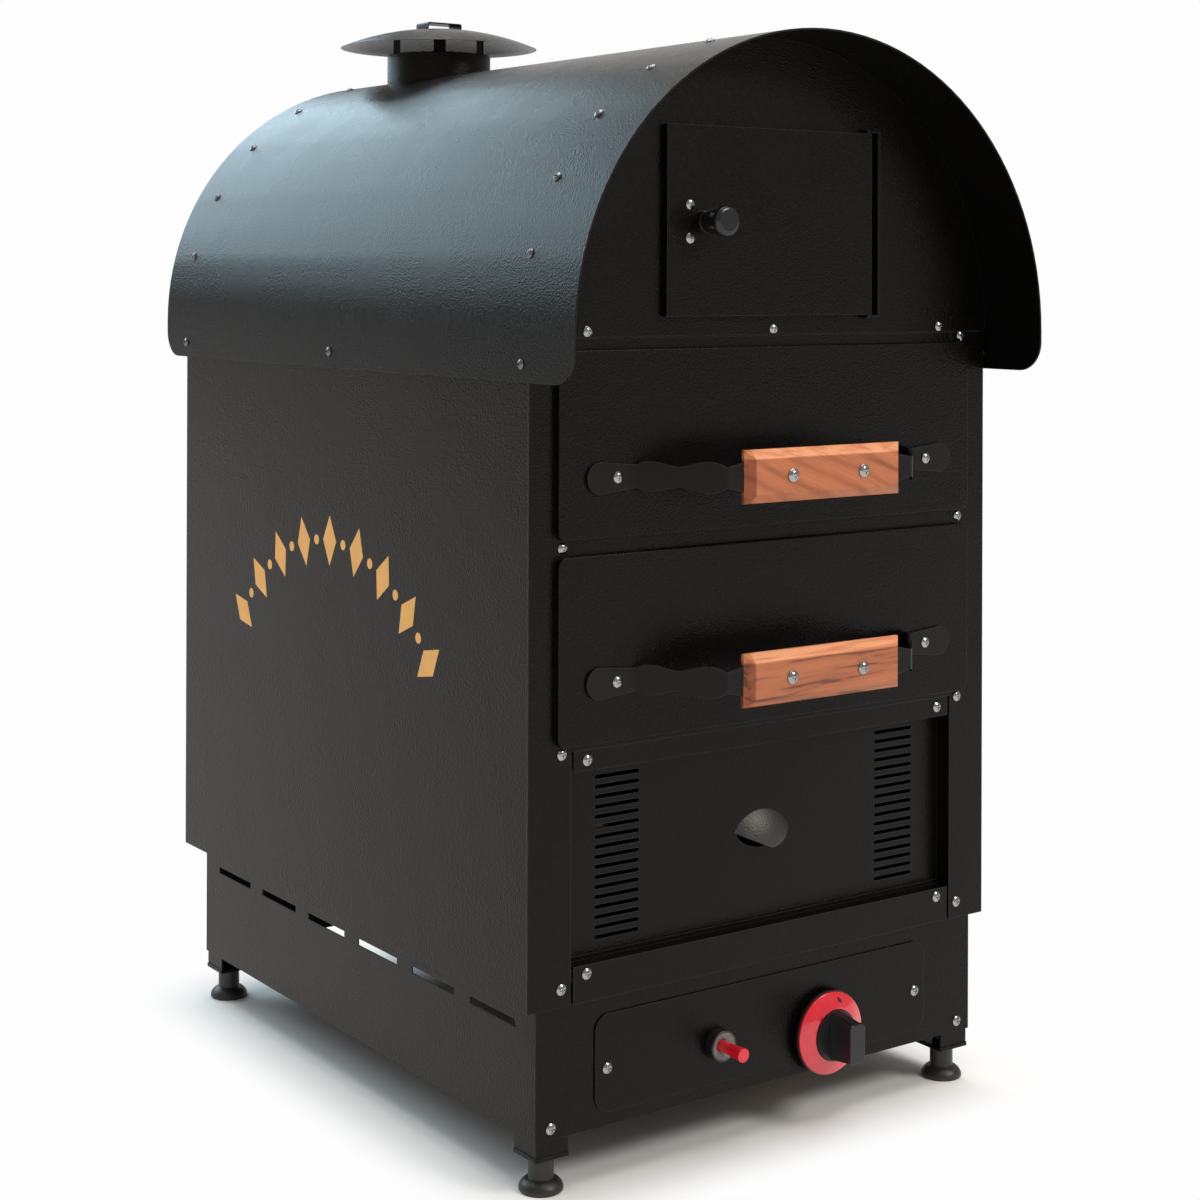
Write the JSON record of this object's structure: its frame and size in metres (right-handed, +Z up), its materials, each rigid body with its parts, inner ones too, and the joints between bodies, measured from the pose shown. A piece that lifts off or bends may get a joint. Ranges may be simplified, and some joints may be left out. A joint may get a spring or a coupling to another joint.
{
  "type": "gas potato oven with warming cabinet",
  "caption": "Free-standing black gas oven with an arched roof, rain-capped chimney, drop-fronted baking drawers with wooden grips, a hinged warming door and a louvred burner bay.",
  "frame": {"origin": "on the floor, under the centre of the overall outline", "axes": "+X to the right as seen from the front, +Y to the back, +Z up; the doors and drawers face -Y"},
  "size_m": [0.4926, 0.7258, 0.9622],
  "materials": {
    "black_coat": "fine textured black powder coat, semi-matt",
    "galvanised_sheet": "plain galvanised sheet",
    "stainless_sheet": "fine brushed stainless sheet",
    "screw_steel": "bright stainless pan heads",
    "mineral_wool": "soft mineral wool blanket",
    "grip_wood": "oiled reddish hardwood with streaky grain",
    "valve_brass": "machined brass",
    "gas_pipe": "drawn copper tube",
    "ceramic": "glazed ceramic sleeve",
    "black_plastic": "moulded black phenolic, satin",
    "lead_sleeve": "silicone lead sleeve",
    "red_plastic": "glossy red moulding",
    "foot_coat": "black coated steel"
  },
  "bodies": {
    "cabinet": {"base_side_panels": "black_coat", "base_front_panel": "black_coat", "base_rear_panel": "black_coat", "base_deck": "galvanised_sheet", "corner_posts": "black_coat", "foot_plates": "black_coat", "control_panel": "black_coat", "side_panels": "black_coat", "rear_panel": "black_coat", "front_frame": "black_coat", "front_screws": "screw_steel", "oven_liner": "stainless_sheet", "insulation": "mineral_wool", "drawer_runners": "stainless_sheet", "heat_deflector": "stainless_sheet", "bay_strips": "black_coat", "roof_shell": "black_coat", "roof_screws": "screw_steel", "front_gable": "black_coat", "warming_shelf": "stainless_sheet", "flue_collar": "black_coat", "burner_tube": "stainless_sheet", "burner_brackets": "galvanised_sheet", "gas_valve": "valve_brass", "supply_pipe": "gas_pipe", "burner_feed": "gas_pipe", "gas_inlet": "valve_brass", "thermocouple": "gas_pipe", "spark_electrode": "ceramic", "igniter_body": "black_plastic", "igniter_lead": "lead_sleeve", "door_hinge": "black_coat", "door_catch": "black_plastic"},
    "warming_door": {"door_panel": "black_coat", "door_knob": "black_plastic", "door_screws": "screw_steel", "catch_strike": "stainless_sheet"},
    "upper_drawer": {"upper_drawer_front": "black_coat", "upper_drawer_tray": "stainless_sheet", "upper_handle_strap": "black_coat", "upper_wood_grip": "grip_wood", "upper_drawer_screws": "screw_steel"},
    "lower_drawer": {"lower_drawer_front": "black_coat", "lower_drawer_tray": "stainless_sheet", "lower_handle_strap": "black_coat", "lower_wood_grip": "grip_wood", "lower_drawer_screws": "screw_steel"},
    "bay_panel": {"louvre_panel": "black_coat"},
    "rain_cap": {"cap_dome": "black_coat", "cap_legs": "black_coat", "cap_handle": "black_coat"},
    "valve_plunger": {"plunger_collar": "valve_brass"},
    "gas_knob": {"valve_spindle": "screw_steel", "knob_skirt": "red_plastic", "knob_grip": "black_plastic"},
    "igniter_plunger": {"igniter_button": "red_plastic"},
    "front_left_foot": {"foot_front_left": "foot_coat"},
    "front_right_foot": {"foot_front_right": "foot_coat"},
    "rear_left_foot": {"foot_rear_left": "foot_coat"},
    "rear_right_foot": {"foot_rear_right": "foot_coat"}
  },
  "joints": [
    {"name": "upper_drawer_slide", "type": "slide", "parent": "cabinet", "child": "upper_drawer", "axis": [0, -1, 0], "range_m": [0, 0.38]},
    {"name": "lower_drawer_slide", "type": "slide", "parent": "cabinet", "child": "lower_drawer", "axis": [0, -1, 0], "range_m": [0, 0.38]},
    {"name": "warming_door_hinge", "type": "hinge", "parent": "cabinet", "child": "warming_door", "pos_m": [0.0995, -0.294, 0.7505], "axis": [0, 0, 1], "range_deg": [0, 120]},
    {"name": "bay_panel_lift", "type": "slide", "parent": "cabinet", "child": "bay_panel", "axis": [0, 0, 1], "range_m": [0, 0.016]},
    {"name": "rain_cap_lift", "type": "slide", "parent": "cabinet", "child": "rain_cap", "axis": [0, 0, 1], "range_m": [0, 0.05]},
    {"name": "valve_push", "type": "slide", "parent": "cabinet", "child": "valve_plunger", "axis": [0, 1, 0], "range_m": [0, 0.0035], "stiffness_N_per_m": 2000, "springref_m": -0.003},
    {"name": "gas_knob_turn", "type": "hinge", "parent": "valve_plunger", "child": "gas_knob", "pos_m": [0.059, -0.3101, 0.075], "axis": [0, -1, 0], "range_deg": [0, 210]},
    {"name": "igniter_push", "type": "slide", "parent": "cabinet", "child": "igniter_plunger", "axis": [0, 1, 0], "range_m": [0, 0.006], "stiffness_N_per_m": 1500, "springref_m": -0.003},
    {"name": "front_left_height", "type": "slide", "parent": "cabinet", "child": "front_left_foot", "axis": [0, 0, -1], "range_m": [0, 0.015]},
    {"name": "front_right_height", "type": "slide", "parent": "cabinet", "child": "front_right_foot", "axis": [0, 0, -1], "range_m": [0, 0.015]},
    {"name": "rear_left_height", "type": "slide", "parent": "cabinet", "child": "rear_left_foot", "axis": [0, 0, -1], "range_m": [0, 0.015]},
    {"name": "rear_right_height", "type": "slide", "parent": "cabinet", "child": "rear_right_foot", "axis": [0, 0, -1], "range_m": [0, 0.015]}
  ]
}
